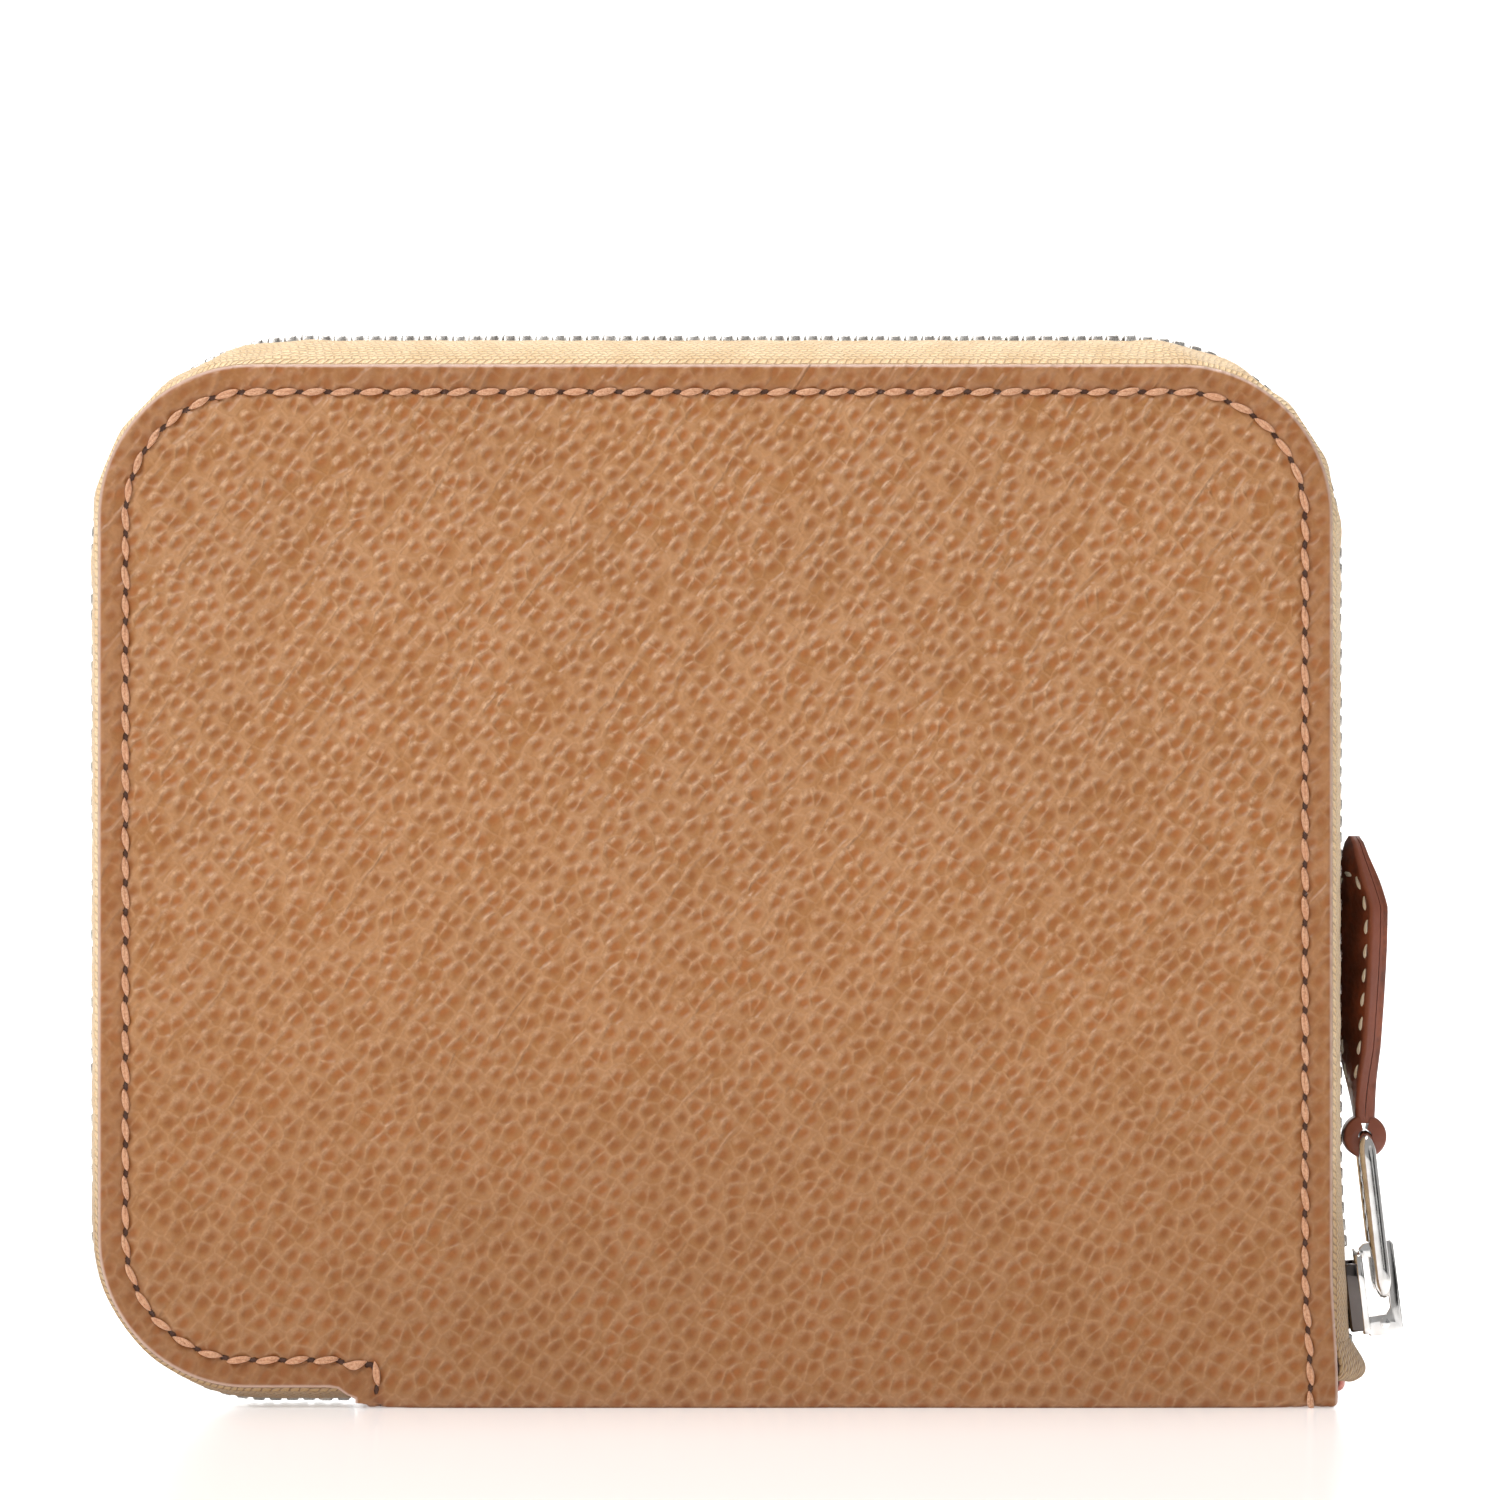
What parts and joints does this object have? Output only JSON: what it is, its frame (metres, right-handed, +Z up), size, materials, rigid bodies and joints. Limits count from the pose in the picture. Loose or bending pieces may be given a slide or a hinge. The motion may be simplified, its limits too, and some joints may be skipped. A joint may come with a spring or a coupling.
{
  "type": "zip-around wallet",
  "caption": "Compact zip-around leather wallet standing on its spine: two stiffened covers, a zip round three sides, card pockets, a slip pocket and a zipped coin purse.",
  "frame": {"origin": "on the flat underside of the spine leather, midway between the covers", "axes": "+X along the spine towards the zip slider's side, +Z up through the covers, -Y out of the front cover"},
  "size_m": [0.1294, 0.0234, 0.1054],
  "materials": {
    "camel_leather": "satin",
    "pocket_leather": "satin",
    "russet_leather": "satin",
    "cotton_tape": "matte",
    "coral_lining": "satin",
    "stiffener_board": "matte",
    "seam_thread": "matte",
    "tab_thread": "matte",
    "zip_teeth": "satin",
    "slider_metal": "polished"
  },
  "bodies": {
    "spine": {"spine_leather": "camel_leather", "spine_lining": "coral_lining", "purse_front_panel": "pocket_leather", "purse_rear_panel": "pocket_leather", "purse_gusset": "coral_lining", "purse_front_tape": "cotton_tape", "purse_rear_tape": "cotton_tape", "purse_front_teeth": "zip_teeth", "purse_rear_teeth": "zip_teeth"},
    "front_cover": {"front_cover_leather": "camel_leather", "front_stiffener_board": "stiffener_board", "front_lining": "coral_lining", "front_zip_tape": "cotton_tape", "front_zip_teeth": "zip_teeth", "front_closed_end_stop": "zip_teeth", "front_tail_end_stop": "zip_teeth", "front_seam_thread": "seam_thread", "slip_pocket": "pocket_leather"},
    "rear_cover": {"rear_cover_leather": "camel_leather", "rear_stiffener_board": "stiffener_board", "rear_lining": "coral_lining", "rear_zip_tape": "cotton_tape", "rear_zip_teeth": "zip_teeth", "rear_closed_end_stop": "zip_teeth", "rear_tail_end_stop": "zip_teeth", "rear_seam_thread": "seam_thread", "card_pocket_1": "pocket_leather", "card_pocket_2": "pocket_leather", "card_pocket_3": "pocket_leather", "card_pocket_4": "pocket_leather"},
    "zip_slider": {"slider_body": "slider_metal", "slider_bridge": "slider_metal"},
    "bail": {"pull_bail": "slider_metal"},
    "tab": {"pull_tab": "russet_leather", "pull_tab_thread": "tab_thread"},
    "purse_slider": {"purse_slider_body": "slider_metal", "purse_slider_staple": "slider_metal"},
    "purse_puller": {"purse_pull": "slider_metal"}
  },
  "joints": [
    {"name": "front_cover_fold", "type": "hinge", "parent": "spine", "child": "front_cover", "pos_m": [0, -0.0097, 0.0013], "axis": [1, 0, 0], "range_deg": [0, 90]},
    {"name": "rear_cover_fold", "type": "hinge", "parent": "spine", "child": "rear_cover", "pos_m": [0, 0.0097, 0.0013], "axis": [-1, 0, 0], "range_deg": [0, 90]},
    {"name": "zip_travel", "type": "slide", "parent": "rear_cover", "child": "zip_slider", "axis": [0, 0, 1], "range_m": [0, 0.068]},
    {"name": "bail_swing", "type": "hinge", "parent": "zip_slider", "child": "bail", "pos_m": [0.066, 0, 0.0108], "axis": [0, 1, 0], "range_deg": [0, 120]},
    {"name": "tab_swing", "type": "hinge", "parent": "bail", "child": "tab", "pos_m": [0.0642, 0, 0.0263], "axis": [0, 1, 0], "range_deg": [0, 90]},
    {"name": "purse_zip_travel", "type": "slide", "parent": "spine", "child": "purse_slider", "axis": [-1, 0, 0], "range_m": [0, 0.08]},
    {"name": "purse_puller_swing", "type": "hinge", "parent": "purse_slider", "child": "purse_puller", "pos_m": [0.0405, 0.0006, 0.0882], "axis": [0, 1, 0], "range_deg": [0, 170]}
  ]
}
